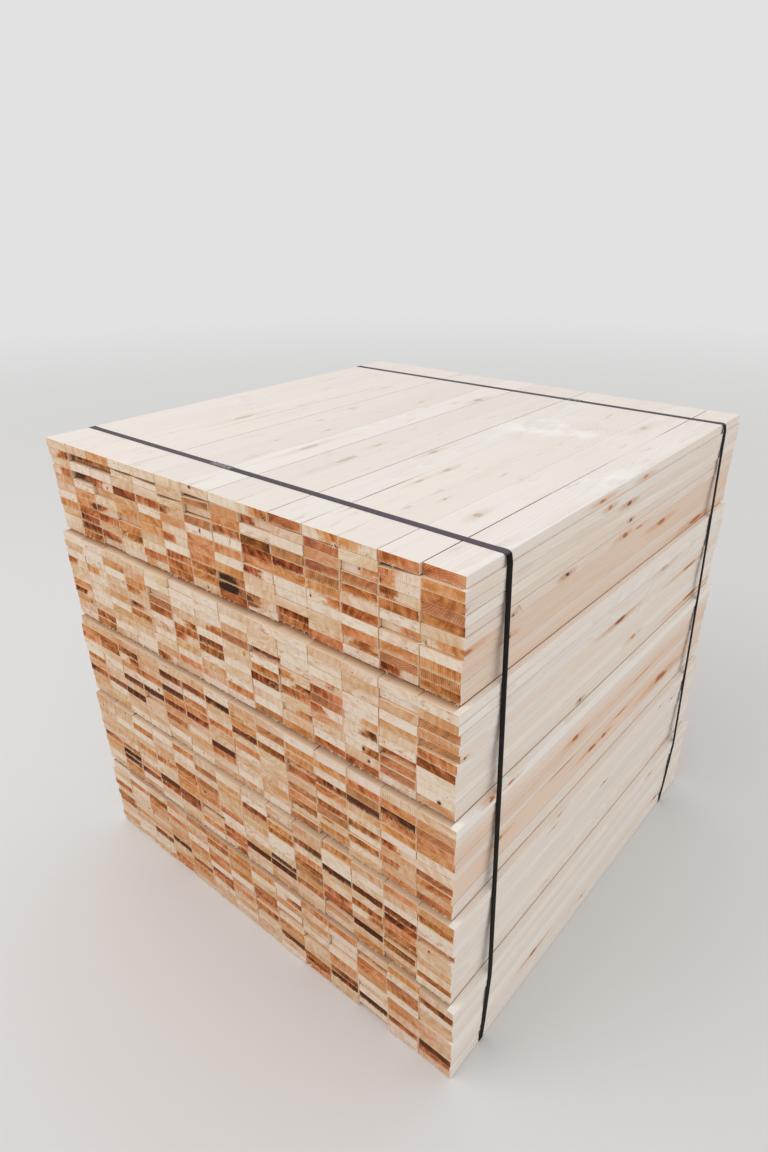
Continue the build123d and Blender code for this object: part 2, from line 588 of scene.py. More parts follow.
boardShape = {
    "stripsAcross": 4,
    "cutsAlong": 13,
    "bevel": 0.0005,
    "cornerSink": 0.0005,  # usual unevenness of a board's corners at its ends
    "hollow": 0.0005,
    "sinkChance": 0.12,
    "deepSink": 0.0017,
    "sinkReach": 0.22,  # how far along the board an end's sink fades out
    "endSkew": 0.0009,
    "endDepth": 0.003,  # how far in from an end its skew still moves points
    "seamLeast": 0.15,  # how open a joint between neighbours is, as a share of its gap
    "seamWander": 0.2,
    "seamFade": 0.05,  # how far along the boards an open stretch of a joint fades out
    "seamMargin": 0.0008,
    "restGap": 0.0014,  # how far a tier's lowest boards lift clear of the ledge at their near end
    "deepestGroundShade": 0.06,  # painted shade: how much darker the lowest tier's wood is made, less on each tier above
}

# Slots under the top boards at the near end: how far the board below sinks at its left,
# middle and right, by tier, layer and column
openSlots = {
    (5, 10, 4): (0.0040, 0.0074, 0.0050),
    (5, 10, 5): (0.0036, 0.0070, 0.0078),
    (5, 9, 6): (0.0074, 0.0056, 0.0020),
    (5, 10, 7): (0.0078, 0.0060, 0.0030),
    (5, 10, 10): (0.0014, 0.0030, 0.0018),
    (5, 10, 11): (0.0016, 0.0034, 0.0044),
    (5, 10, 13): (0.0078, 0.0052, 0.0012),
    (5, 8, 7): (0.0030, 0.0014, 0.0),
}

# Joints that stay open on top, by the column to their left: from Y, to Y and how open
topJoints = {
    13: [(-0.62, -0.25, 1.3), (-0.16, 0.0, 0.8), (0.33, 0.62, 1.0)],
    12: [(-0.62, -0.52, 0.8)],
    10: [(-0.45, -0.33, 1.0)],
    9: [(-0.62, 0.62, 0.9)],
    7: [(-0.62, 0.55, 0.8)],
    6: [(-0.3, 0.4, 0.8)],
    4: [(-0.5, 0.62, 1.0)],
    3: [(-0.3, 0.3, 0.7)],
}

# How warm the wood of the long faces is, from pale to peach, by tier and from layer 1 up
faceWarmth = {
    5: (0.80, 0.75, 0.90, 1.00, 0.85, 0.70, 0.55, 0.45, 0.60, 0.30, 0.50),
    4: (0.60, 0.40, 0.35, 0.45, 0.35, 0.45, 0.50, 0.35, 0.25, 0.20, 0.30),
    3: (0.55, 0.50, 0.95, 1.05, 1.00, 0.70, 0.85, 1.05, 0.90, 0.75, 0.00),
    2: (0.25, 0.45, 0.20, 0.40, 0.30, 0.50, 0.25, 0.35, 0.30, 0.45, 0.25),
    1: (0.45, 0.30, 0.50, 0.35, 0.45, 0.30, 0.40, 0.50, 0.30, 0.40, 0.30),
}

ledgeShade = {4: 1.0, 3: 0.85, 2: 0.58, 1: 0.78}  # how deep the shade on the ledge is, by tier

# Shares of the looks among the boards that aren't placed below, by tier
tierLooks = {
    5: {"white": 0.16, "cream": 0.40, "peach": 0.34, "orange": 0.10},
    4: {"white": 0.34, "cream": 0.44, "peach": 0.18, "orange": 0.04},
    3: {"white": 0.10, "cream": 0.38, "peach": 0.40, "orange": 0.12},
    2: {"white": 0.14, "cream": 0.42, "peach": 0.36, "orange": 0.08},
    1: {"white": 0.16, "cream": 0.42, "peach": 0.32, "orange": 0.10},
}

# Range of sapwood tone, of heartwood tone, how much of the end is heartwood, and from where
looks = {
    "white": ((0.0, 0.16), (0.1, 0.3), "none", ""),
    "cream": ((0.3, 0.58), (0.1, 0.4), "none", ""),
    "peach": ((0.62, 0.95), (0.0, 0.3), "none", ""),
    "orange": ((0.5, 0.9), (0.14, 0.34), "full", ""),
    "brown": ((0.4, 0.8), (0.44, 0.6), "full", ""),
    "comb": ((0.6, 0.9), (0.34, 0.5), "full", ""),
    "dark": ((0.4, 0.8), (0.72, 0.86), "full", ""),
    "darkest": ((0.4, 0.8), (0.98, 1.15), "full", ""),
    "brownLeft": ((0.15, 0.6), (0.5, 0.8), "part", "left"),
    "brownRight": ((0.15, 0.6), (0.5, 0.8), "part", "right"),
    "brownLow": ((0.2, 0.7), (0.5, 0.8), "part", "low"),
    "brownHigh": ((0.2, 0.7), (0.5, 0.8), "part", "high"),
    "orangeLeft": ((0.1, 0.5), (0.15, 0.4), "part", "left"),
    "orangeRight": ((0.1, 0.5), (0.15, 0.4), "part", "right"),
}

# Boards that stand out at the near end, as layer and column, by tier and look
shownBoards = {
    5: {
        "white": [(11, 4), (10, 5), (9, 2), (9, 3), (9, 10), (7, 2), (7, 5), (7, 7), (7, 8), (6, 13),
            (5, 1), (5, 8), (5, 10), (4, 6), (4, 10), (4, 11), (4, 12), (4, 13), (4, 14), (1, 12), (1, 4)],
        "cream": [(11, 1), (11, 2), (11, 5), (11, 6), (10, 4), (10, 6), (9, 1), (9, 4), (9, 7), (6, 12),
            (6, 14), (6, 6), (4, 5), (4, 9), (3, 5), (2, 4), (2, 11), (1, 1), (1, 3), (1, 7), (8, 14),
            (11, 7)],
        "orange": [(11, 3), (11, 13), (11, 14), (10, 14), (9, 8), (6, 2), (6, 7), (6, 8), (6, 9), (6, 10),
            (6, 11), (5, 2), (5, 7), (4, 1), (4, 7), (4, 8), (3, 12), (3, 13), (3, 14), (2, 7), (1, 11),
            (6, 5), (5, 5), (4, 4)],
        "comb": [(10, 11), (10, 7), (8, 10), (8, 11), (8, 12), (8, 14), (7, 11), (2, 14), (2, 13), (11, 10),
            (10, 3), (8, 7)],
        "brown": [(10, 2), (8, 5), (8, 8), (7, 12), (7, 13), (7, 14), (5, 12), (4, 2), (4, 3), (3, 4),
            (3, 6), (3, 7), (3, 8), (2, 5), (2, 6), (1, 6), (1, 8), (1, 10), (1, 14), (9, 14), (1, 2)],
        "dark": [(8, 2), (8, 4), (8, 9), (7, 9), (7, 10), (3, 2), (2, 2), (2, 8), (2, 10)],
        "brownLeft": [(10, 9), (8, 3), (8, 6), (8, 13), (5, 3), (5, 6), (2, 9), (5, 9), (1, 13)],
        "brownRight": [(10, 1), (8, 1), (5, 11)],
        "brownLow": [(2, 12), (3, 3), (2, 3)],
        "orangeLeft": [(10, 13), (9, 13), (11, 12), (1, 5)],
        "orangeRight": [(11, 9), (11, 11), (5, 14), (9, 12), (5, 13)],
    },
    4: {
        "white": [(11, 2), (11, 6), (11, 7), (10, 5), (10, 6), (10, 7), (10, 8), (9, 3), (9, 6), (9, 7),
            (10, 10), (10, 11), (10, 13), (6, 5), (5, 2), (9, 11), (8, 12), (4, 9), (3, 8), (2, 9), (7, 12),
            (11, 13)],
        "orange": [(9, 4), (2, 8), (2, 6), (10, 3)],
        "comb": [(9, 14), (8, 5), (2, 13), (7, 14), (6, 11), (1, 9), (8, 8), (3, 13)],
        "brown": [(7, 5), (7, 11), (6, 9), (5, 10), (4, 13), (2, 2), (1, 2), (1, 11), (1, 12), (6, 6),
            (5, 4), (6, 14)],
        "dark": [(6, 7), (5, 7), (8, 9), (5, 14), (5, 9)],
        "brownLeft": [(6, 4), (5, 11), (8, 1), (4, 1), (1, 5), (8, 4), (7, 10)],
        "brownRight": [(7, 6), (8, 7), (3, 10), (6, 10), (5, 12), (3, 12)],
        "brownHigh": [(8, 11), (5, 5)],
        "orangeLeft": [(5, 6), (8, 2)],
        "orangeRight": [(6, 12), (10, 4)],
    },
    3: {
        "white": [(11, 7), (11, 10), (11, 11), (11, 12), (7, 2), (7, 4), (6, 13), (6, 14), (8, 1)],
        "orange": [(10, 1), (9, 1), (10, 12), (10, 13), (9, 8), (9, 10), (8, 13), (8, 14), (7, 13), (7, 14),
            (10, 10), (10, 11), (7, 6), (7, 7), (8, 3), (2, 11)],
        "comb": [(9, 14), (4, 11), (5, 10), (1, 14), (1, 10), (4, 14), (9, 12), (10, 9)],
        "brown": [(10, 2), (8, 4), (8, 6), (8, 10), (7, 10), (5, 11), (5, 12), (3, 14), (6, 1), (3, 10),
            (3, 12), (4, 5), (9, 2)],
        "dark": [(10, 5), (10, 6), (10, 3), (8, 8), (8, 11), (6, 5), (6, 6), (4, 1), (4, 2), (8, 9)],
        "darkest": [(10, 7), (8, 5), (8, 12), (9, 13), (6, 3), (6, 4), (4, 3), (4, 7)],
        "brownLeft": [(10, 8), (5, 13), (3, 13)],
        "brownRight": [(9, 3)],
        "brownHigh": [(3, 11)],
    },
    2: {
        "white": [(10, 5), (9, 14), (8, 14), (10, 8), (1, 14), (5, 8), (7, 9), (9, 11), (1, 6), (2, 1),
            (1, 4)],
        "orange": [(7, 5), (6, 5), (5, 5), (7, 6), (6, 6), (6, 13), (4, 1), (7, 4), (9, 9)],
        "comb": [(5, 10), (8, 6), (10, 6), (7, 14)],
        "brown": [(5, 1), (5, 2), (3, 5), (3, 4), (3, 10), (8, 9), (5, 11), (4, 11), (5, 13), (4, 13),
            (2, 14), (3, 7), (6, 10), (6, 12), (10, 14), (8, 5)],
        "dark": [(3, 3), (4, 5), (9, 8), (9, 10), (3, 11), (8, 13), (7, 13), (3, 13), (4, 6)],
        "darkest": [(4, 2), (3, 2), (4, 4), (3, 8), (4, 9), (3, 9), (8, 11), (8, 12), (3, 12)],
        "brownRight": [(5, 12), (1, 7)],
    },
    1: {
        "white": [(2, 13), (1, 13), (2, 12), (7, 7), (8, 11), (3, 2), (1, 9)],
        "orange": [(11, 6), (11, 7), (10, 7), (9, 12), (10, 2), (3, 5)],
        "comb": [(8, 8), (6, 1), (11, 5), (9, 13)],
        "brown": [(8, 1), (10, 3), (10, 6), (5, 1), (4, 5), (7, 8), (3, 13), (10, 12), (8, 13), (4, 6),
            (5, 8), (2, 14), (3, 10)],
        "dark": [(5, 6), (10, 14), (4, 3), (2, 10), (4, 11)],
        "darkest": [(5, 4), (3, 9), (3, 12), (3, 14), (3, 11)],
        "brownRight": [(10, 9)],
    },
}

# Where the rings have their middle on an end, across and up from the board's centre
ringShape = {
    "spacing": (0.0022, 0.0046),
    "beside": ((0.035, 0.09), (-0.03, 0.03)),
    "aboveOrBelow": ((-0.02, 0.02), (0.02, 0.05)),
    "archChance": 0.4,  # flat sawn: rings arch over the end
    "arch": ((-0.035, 0.035), (0.012, 0.06)),
    "comb": ((0.03, 0.15), (-0.05, 0.05)),  # rings stand like the teeth of a comb
    "heartEdge": (-0.006, 0.012),  # where heartwood ends, out from the board's centre
    "noHeart": -0.1,
    "allHeart": 0.3,
    "combing": (0.05, 0.75),  # how strongly the rings show
    "strongCombing": (0.8, 1.0),
    "greying": (0.0, 0.12),
    "strongGreying": (0.2, 0.6),
}

strapBend = {  # where a strap turns down over the top boards' outer edges
    "lift": 0.0008,
    "bulge": 0.0032,
    "across": 0.0090,
    "down": 0.0080,
    "rampTop": 0.040,
    "rampSide": 0.060,
    "rampSteps": 8,
    "bendSteps": 12,
    "sideSteps": 10,
    "cuts": (0.0012, 0.0026, 0.0040, 0.0056, 0.0076, 0.011, 0.018, 0.028),
    "dent": 0.0024,  # how far the strap presses into the board's edge
    "dentHalf": 0.0085,
    "dentFade": 0.004,
    "dentMargin": 0.0005,
    "dentHeight": 0.003,
    "dentReach": 0.0016,  # points up to this far from the board's side are pressed
    "dentCorner": 0.0003,
}

strapBoxes = [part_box(node) for node in ("strap_near", "strap_far")]
strapPlaces = [(low.y + high.y) / 2 for low, high in strapBoxes]
Span = namedtuple("Span", "left right near far")
layerSpans = {}


def isWithin(x, span):
    return span.left - meshing["mergeWithin"] < x < span.right + meshing["mergeWithin"]


# A face's board: its column and its span.
def boardOf(face, spans):
    return next(item for item in enumerate(spans, 1) if isWithin(face.center.x, item[1]))


def boardSpans(mesh):
    edges = sorted({round(point.co.x, 6) for point in mesh.vertices})
    spans = []
    for left, right in zip(edges[0::2], edges[1::2]):
        sides = Span(left, right, 0.0, 0.0)
        ends = [point.co.y for point in mesh.vertices if isWithin(point.co.x, sides)]
        spans.append(Span(left, right, min(ends), max(ends)))
    return spans


# The straps press a little into the outer edges of the top boards.
def pressStraps(piece, spans, high):
    for point in piece.data.vertices:
        co = point.co
        near = min(abs(co.y - place) for place in strapPlaces)
        if near > strapBend["dentHalf"] + strapBend["dentMargin"] or co.z < high - strapBend["dentHeight"]:
            continue
        for edge, inwards in ((spans[0].left, 1), (spans[-1].right, -1)):
            away = abs(co.x - edge)
            if strapBend["dentCorner"] < away < strapBend["dentReach"]:
                co.x = co.x + inwards * strapBend["dent"]
            elif away < strapBend["dentReach"]:
                co.z = co.z - strapBend["dent"]


def boardLook(tier, layer, column):
    chance = random.Random(tier * 7919 + layer * 131 + column)
    weights = tierLooks[tier]
    kind = chance.choices(list(weights), list(weights.values()))[0]
    for shownKind, places in shownBoards[tier].items():
        if (layer, column) in places:
            kind = shownKind
    sapRange, heartRange, share, side = looks[kind]
    if side in ("left", "right"):
        across, up = ringShape["beside"]
        pith = ((1 if side == "right" else -1) * chance.uniform(*across), chance.uniform(*up))
    elif side in ("low", "high"):
        across, up = ringShape["aboveOrBelow"]
        pith = (chance.uniform(*across), (1 if side == "high" else -1) * chance.uniform(*up))
    elif chance.random() < ringShape["archChance"]:
        across, up = ringShape["arch"]
        pith = (chance.uniform(*across), chance.choice((-1, 1)) * chance.uniform(*up))
    else:
        across, up = ringShape["comb"]
        pith = (chance.choice((-1, 1)) * chance.uniform(*across), chance.uniform(*up))
    heartEdge = math.hypot(*pith) + chance.uniform(*ringShape["heartEdge"])
    comb, greyed = chance.uniform(*ringShape["combing"]), chance.uniform(*ringShape["greying"])
    if kind == "comb":
        comb = chance.uniform(*ringShape["strongCombing"])
        greyed = chance.uniform(*ringShape["strongGreying"])
    if kind == "white":
        comb = comb * 0.5
    return {
        "sap": chance.uniform(*sapRange),
        "heart": chance.uniform(*heartRange),
        "reach": {"none": ringShape["noHeart"], "full": ringShape["allHeart"], "part": heartEdge}[share],
        "seed": chance.random(),
        "pith": pith,
        "spacing": chance.uniform(*ringShape["spacing"]),
        "finish": (comb, greyed, chance.random()),
    }


# How far a board's top and bottom lie back from its CAD face at the near end.
def sinks(tier, layer, column):
    chance = random.Random(tier * 4099 + layer * 67 + column * 3)
    found = []
    for face in ("top", "bottom"):
        usual = boardShape["cornerSink"]
        left, right = chance.uniform(0, usual), chance.uniform(0, usual)
        middle = chance.uniform(0, boardShape["hollow"])
        if chance.random() < boardShape["sinkChance"]:
            left = left + chance.uniform(0, boardShape["deepSink"])
        if chance.random() < boardShape["sinkChance"]:
            right = right + chance.uniform(0, boardShape["deepSink"])
        if face == "bottom" and layer == 1 and tier > 1:
            lift = chance.uniform(0.5, 1.0) * boardShape["restGap"]
            left, middle, right = left + lift, middle + lift, right + lift
        found.append((left, middle, right))
    if (tier, layer, column) in openSlots:
        found[0] = openSlots[(tier, layer, column)]
    return found


# Moves the boards' points inwards a little, so that their faces are not quite flat.
def unevenBoards(piece, tier, layer, spans, low, high):
    middle = (low + high) / 2
    for column, span in enumerate(spans, 1):
        top, bottom = sinks(tier, layer, column)
        chance = random.Random(tier * 977 + layer * 53 + column)
        skew = chance.uniform(-1, 1) * boardShape["endSkew"]
        half, centre = (span.right - span.left) / 2, (span.left + span.right) / 2
        for point in piece.data.vertices:
            co = point.co
            if not isWithin(co.x, span):
                continue
            across = (co.x - centre) / half
            fade = math.exp(-(co.y - span.near) / boardShape["sinkReach"])
            drift = 0.5 + 0.5 * noise.noise((column * 3.1, co.y * 2.3, layer + tier * 11))
            atLeft, atMiddle, atRight = top if co.z > middle else bottom
            lens = (atMiddle - (atLeft + atRight) / 2) * (1 - across * across)
            depth = atLeft * (1 - across) / 2 + atRight * (1 + across) / 2 + lens
            depth = max(0.0, depth) * fade + drift * boardShape["cornerSink"] * 0.6
            if (tier, layer) == topLayer and co.z > middle:
                depth = depth * 0.5
            co.z = co.z - depth if co.z > middle else co.z + depth
            if co.y < span.near + boardShape["endDepth"]:
                co.y = co.y + abs(skew) * 0.5 + skew * 0.5 * across


# Knots, holes and stains that the photograph shows: tier, layer and column of the board,
# then the place in metres, its half sizes and its tone, from pale to black
shownMarks = [
    # near ends
    ((5, 7, 7), (-0.047, -0.6, 1.0640), (0.0026, 0.02, 0.0048), 1.0),
    ((5, 7, 8), (0.0428, -0.6, 1.0640), (0.0008, 0.02, 0.0060), 1.0),
    ((5, 3, 8), (0.006, -0.6, 0.9700), (0.042, 0.02, 0.0145), 0.96),
    ((5, 2, 9), (0.060, -0.6, 0.9530), (0.040, 0.02, 0.0085), 0.84),
    ((5, 1, 9), (0.075, -0.6, 0.9400), (0.034, 0.02, 0.0060), 0.70),
    ((5, 10, 2), (-0.485, -0.58, 1.124), (0.010, 0.03, 0.008), 0.8),
    ((5, 8, 2), (-0.495, -0.58, 1.0825), (0.024, 0.03, 0.012), 0.85),
    ((4, 7, 14), (0.5247, -0.6, 0.820), (0.0024, 0.02, 0.0030), 1.0),
    ((3, 7, 14), (0.5716, -0.6, 0.5880), (0.0060, 0.02, 0.0060), 0.4),
    ((5, 9, 12), (0.37, -0.6, 1.105), (0.0032, 0.02, 0.0028), 0.65),
    ((5, 5, 13), (0.4993, -0.6, 1.0160), (0.0013, 0.02, 0.0090), 1.0),
    ((5, 5, 14), (0.5035, -0.6, 1.0120), (0.0010, 0.02, 0.0080), 0.95),
    ((5, 3, 13), (0.4985, -0.6, 0.9720), (0.0018, 0.02, 0.0040), 1.0),
    ((5, 1, 12), (0.4145, -0.6, 0.9374), (0.0011, 0.02, 0.0100), 0.95),
    ((5, 8, 10), (0.2435, -0.6, 1.0820), (0.0026, 0.02, 0.0090), 0.95),
    ((5, 5, 11), (0.2525, -0.6, 1.0180), (0.0022, 0.02, 0.0036), 0.95),
    ((5, 9, 13), (0.4205, -0.6, 1.1034), (0.0014, 0.02, 0.0070), 0.95),
    ((5, 11, 9), (0.1520, -0.6, 1.1420), (0.0030, 0.02, 0.0026), 0.8),
    ((5, 2, 8), (0.0160, -0.6, 0.9560), (0.0440, 0.02, 0.0145), 0.99),
    ((5, 5, 2), (-0.4410, -0.6, 1.0194), (0.0160, 0.02, 0.0100), 0.86),
    ((4, 5, 9), (0.1420, -0.6, 0.7860), (0.0090, 0.02, 0.0050), 0.85),
    ((4, 3, 12), (0.3750, -0.6, 0.7464), (0.0040, 0.02, 0.0050), 0.95),
    ((4, 6, 7), (-0.0560, -0.6, 0.8100), (0.0070, 0.02, 0.0050), 0.86),
    ((4, 7, 10), (0.1640, -0.6, 0.8310), (0.0080, 0.02, 0.0100), 0.8),
    # the long side
    ((5, 9, 14), (0.59, -0.6047, 1.1032), (0.01, 0.0036, 0.0036), 0.9),
    ((5, 10, 14), (0.588, -0.1295, 1.1252), (0.01, 0.010, 0.0050), 0.45),
    ((5, 11, 14), (0.588, -0.1577, 1.1450), (0.01, 0.016, 0.0040), 0.42),
    ((5, 11, 14), (0.588, 0.0347, 1.1420), (0.01, 0.014, 0.0040), 0.35),
    ((5, 9, 14), (0.588, -0.0407, 1.1073), (0.01, 0.012, 0.0050), 0.72),
    ((5, 7, 14), (0.588, -0.0127, 1.0630), (0.01, 0.005, 0.0040), 0.85),
    ((5, 6, 14), (0.588, -0.0328, 1.0371), (0.01, 0.014, 0.0060), 0.55),
    ((5, 6, 14), (0.588, 0.0361, 1.0324), (0.01, 0.018, 0.0050), 0.35),
    ((5, 4, 14), (0.588, 0.1678, 1.0022), (0.01, 0.024, 0.0065), 0.5),
    ((5, 5, 14), (0.588, 0.3377, 1.0218), (0.01, 0.020, 0.0055), 0.5),
    ((5, 1, 14), (0.588, 0.4115, 0.9339), (0.01, 0.045, 0.0060), 0.5),
    ((5, 4, 14), (0.590, -0.4608, 0.9880), (0.01, 0.011, 0.0090), 0.60),
    ((5, 6, 14), (0.590, -0.4550, 1.0310), (0.01, 0.005, 0.0070), 0.70),
    ((5, 6, 14), (0.590, -0.2740, 1.0390), (0.01, 0.010, 0.0050), 0.84),
    ((4, 9, 14), (0.591, 0.2078, 0.8794), (0.01, 0.024, 0.0050), 0.22),
    ((4, 7, 14), (0.591, -0.5851, 0.8256), (0.01, 0.004, 0.0030), 0.70),
    ((4, 7, 14), (0.591, -0.0066, 0.8345), (0.01, 0.028, 0.0065), 0.64),
    ((4, 6, 14), (0.591, 0.3950, 0.8170), (0.01, 0.045, 0.0060), 0.52),
    ((4, 3, 14), (0.591, 0.0925, 0.7460), (0.01, 0.015, 0.0060), 0.34),
    ((4, 1, 14), (0.591, 0.4593, 0.7093), (0.01, 0.052, 0.0065), 0.52),
    ((4, 1, 14), (0.591, -0.1506, 0.7029), (0.01, 0.006, 0.0040), 0.95),
    ((3, 11, 14), (0.596, -0.5057, 0.6900), (0.01, 0.010, 0.0050), 0.58),
    ((3, 11, 14), (0.596, -0.4425, 0.6873), (0.01, 0.012, 0.0040), 0.42),
    ((3, 8, 14), (0.596, -0.1739, 0.6241), (0.01, 0.015, 0.0075), 0.55),
    ((3, 8, 14), (0.596, 0.1660, 0.6115), (0.01, 0.060, 0.0024), 0.42),
    ((3, 6, 14), (0.596, -0.2200, 0.5720), (0.01, 0.070, 0.0030), 0.34),
    ((3, 5, 14), (0.596, -0.4580, 0.5563), (0.01, 0.014, 0.0045), 0.50),
    ((3, 5, 14), (0.596, 0.0750, 0.5510), (0.01, 0.040, 0.0040), 0.36),
    ((3, 4, 14), (0.596, -0.0681, 0.5310), (0.01, 0.022, 0.0065), 0.56),
    ((3, 4, 14), (0.596, -0.0100, 0.5320), (0.01, 0.013, 0.0055), 0.58),
    ((3, 4, 14), (0.596, 0.3150, 0.5290), (0.01, 0.034, 0.0075), 0.56),
    ((3, 3, 14), (0.596, 0.3300, 0.5210), (0.01, 0.045, 0.0075), 0.54),
    ((2, 10, 14), (0.600, -0.2442, 0.4323), (0.01, 0.008, 0.0013), 0.90),
    ((2, 8, 14), (0.600, 0.0123, 0.3842), (0.01, 0.007, 0.0035), 0.48),
    ((2, 1, 14), (0.600, 0.4468, 0.2405), (0.01, 0.034, 0.0022), 0.48),
    # the top
    ((5, 11, 13), (0.4566, -0.3833, 1.156), (0.0090, 0.0120, 0.01), 0.22),
    ((5, 11, 7), (-0.0202, 0.3261, 1.156), (0.0100, 0.0180, 0.01), 0.26),
    ((5, 11, 7), (-0.0609, -0.2759, 1.156), (0.0080, 0.0320, 0.01), 0.1),
    ((5, 11, 8), (0.0642, -0.2884, 1.156), (0.0080, 0.0360, 0.01), 0.12),
    ((5, 11, 8), (0.0477, -0.1692, 1.156), (0.0050, 0.0140, 0.01), 0.15),
    ((5, 11, 10), (0.1744, -0.1355, 1.156), (0.0060, 0.0160, 0.01), 0.25),
    ((5, 11, 6), (-0.1259, -0.1481, 1.156), (0.0030, 0.0080, 0.01), 0.28),
    ((5, 11, 3), (-0.3770, -0.1914, 1.156), (0.0100, 0.0400, 0.01), 0.05),
    ((5, 11, 6), (-0.1573, -0.2821, 1.156), (0.0030, 0.0060, 0.01), 0.22),
    ((5, 11, 11), (0.2704, -0.2168, 1.156), (0.0060, 0.0160, 0.01), 0.2),
    ((5, 11, 11), (0.2683, -0.3054, 1.156), (0.0040, 0.0160, 0.01), 0.2),
    ((5, 11, 12), (0.3661, -0.3548, 1.156), (0.0030, 0.0070, 0.01), 0.3),
    ((5, 11, 11), (0.2633, -0.4968, 1.156), (0.0020, 0.0080, 0.01), 0.34),
    ((5, 11, 6), (-0.1269, 0.2122, 1.156), (0.0040, 0.0100, 0.01), 0.2),
    ((5, 11, 13), (0.4455, 0.3303, 1.156), (0.0090, 0.0180, 0.01), 0.08),
]

frostPatches = [  # on top: centre X and Y, and radius
    (0.25, 0.17, 0.11),
    (0.29, 0.24, 0.10),
    (0.36, 0.22, 0.09),
    (0.44, 0.29, 0.05),
    (0.53, -0.05, 0.07),
]

looseMarks = {  # knots and stains by chance, where the photograph places none
    "endChance": 0.05,
    "endSize": (0.0012, 0.0045),
    "endTones": (0.35, 0.5, 0.65, 0.97),
    "sideChance": 0.45,
    "sideSize": (0.002, 0.006),
    "sideTone": (0.2, 0.75),
    "throughEnd": 0.02,  # half size along the board of a mark on an end
    "throughSide": 0.01,
}


# The marks on a board: the placed ones, laid on its own faces, and a few by chance elsewhere.
def marksOf(tier, layer, column, span, low, high):
    chance = random.Random(tier * 3571 + layer * 263 + column * 29)
    throughEnd, throughSide = looseMarks["throughEnd"], looseMarks["throughSide"]
    marks = []
    for board, (x, y, z), size, tone in shownMarks:
        if board == (tier, layer, column):
            x = span.right if size[0] == throughSide and x > 0.57 else x
            y = span.near if size[1] == throughEnd else y
            marks.append(((x, y, z), size, tone))
    middleX, middleZ = (span.left + span.right) / 2, (low + high) / 2
    for end in (span.near, span.far):
        if chance.random() < looseMarks["endChance"]:
            place = (middleX + chance.uniform(-0.03, 0.03), end, middleZ + chance.uniform(-0.006, 0.006))
            wide = chance.uniform(*looseMarks["endSize"])
            size = (wide, throughEnd, wide * chance.uniform(0.8, 1.3))
            marks.append((place, size, chance.choice(looseMarks["endTones"])))
    hasSide = column == 1 or (column == stack["columns"] and tier < 3)
    if hasSide and chance.random() < looseMarks["sideChance"]:
        along, up = chance.uniform(span.near + 0.1, span.far - 0.1), chance.uniform(-0.005, 0.005)
        tall = chance.uniform(*looseMarks["sideSize"])
        size = (throughSide, tall * chance.uniform(1.5, 4), tall)
        place = (span.left if column == 1 else span.right, along, middleZ + up)
        marks.append((place, size, chance.uniform(*looseMarks["sideTone"])))
    return marks


def nearestMark(marks, place):
    nowhere = ((0.0, 0.0, -9.0), (0.001, 0.001, 0.001), 0.0)
    return min(marks, key=lambda mark: (Vector(mark[0]) - place).length) if marks else nowhere


# What the wood materials read from every face of every board
faceAttributes = {
    "boardCentre": "FLOAT_VECTOR",
    "boardPith": "FLOAT_VECTOR",
    "boardLook": "FLOAT_COLOR",
    "boardFinish": "FLOAT_VECTOR",
    "spanAround": "FLOAT_COLOR",
    "markPlace": "FLOAT_VECTOR",
    "markSize": "FLOAT_VECTOR",
    "markTone": "FLOAT",
    "groundShadeShare": "FLOAT",
    "ledge": "FLOAT",
    "inner": "FLOAT",
    "warmth": "FLOAT",
    "bleached": "FLOAT",
}
attributeFields = {"FLOAT": "value", "FLOAT_VECTOR": "vector", "FLOAT_COLOR": "color"}


def boardAttributes(piece, tier, layer, spans, low, high):
    onTop = layer == stack["layers"]
    above = layerSpans.get((tier + 1, 1)) if onTop else None
    groundShadeHere = boardShape["deepestGroundShade"] * (stack["tiers"] - tier) / (stack["tiers"] - 1)
    boards = []
    for column, span in enumerate(spans, 1):
        boards.append((boardLook(tier, layer, column), marksOf(tier, layer, column, span, low, high)))
    values = {name: [] for name in faceAttributes}
    for face in piece.data.polygons:
        column, span = boardOf(face, spans)
        look, marks = boards[column - 1]
        facing = face.normal
        upwards = facing.z > 0.5
        isLedge = above is not None and upwards
        isOuter = (column == 1 and facing.x < -0.5) or (column == stack["columns"] and facing.x > 0.5)
        isLong = abs(facing.x) > 0.5 or abs(facing.z) > 0.5
        isInner = isLong and not (isLedge or isOuter or (onTop and upwards))
        around, end = (above, above[column - 1]) if isLedge else (spans, span)
        place, size, tone = nearestMark(marks, face.center)
        known = {
            "boardCentre": ((span.left + span.right) / 2, (span.near + span.far) / 2, (low + high) / 2),
            "boardPith": (look["pith"][0], look["spacing"], look["pith"][1]),
            "boardLook": (look["sap"], look["heart"], look["reach"], look["seed"]),
            "boardFinish": look["finish"],
            "spanAround": (end.near, end.far, around[0].left, around[-1].right),
            "markPlace": place,
            "markSize": size,
            "markTone": (tone,),
            "groundShadeShare": (groundShadeHere,),
            "ledge": (ledgeShade[tier] if isLedge else 0.0,),
            "inner": (1.0 if isInner else 0.0,),
            "warmth": (0.7 * look["seed"] if column == 1 else faceWarmth[tier][layer - 1],),
            "bleached": (1.0 if (tier, layer) == topLayer and upwards else 0.0,),
        }
        for name, numbers in known.items():
            values[name] += numbers
    for name, kind in faceAttributes.items():
        piece.data.attributes.new(name, kind, "FACE").data.foreach_set(attributeFields[kind], values[name])


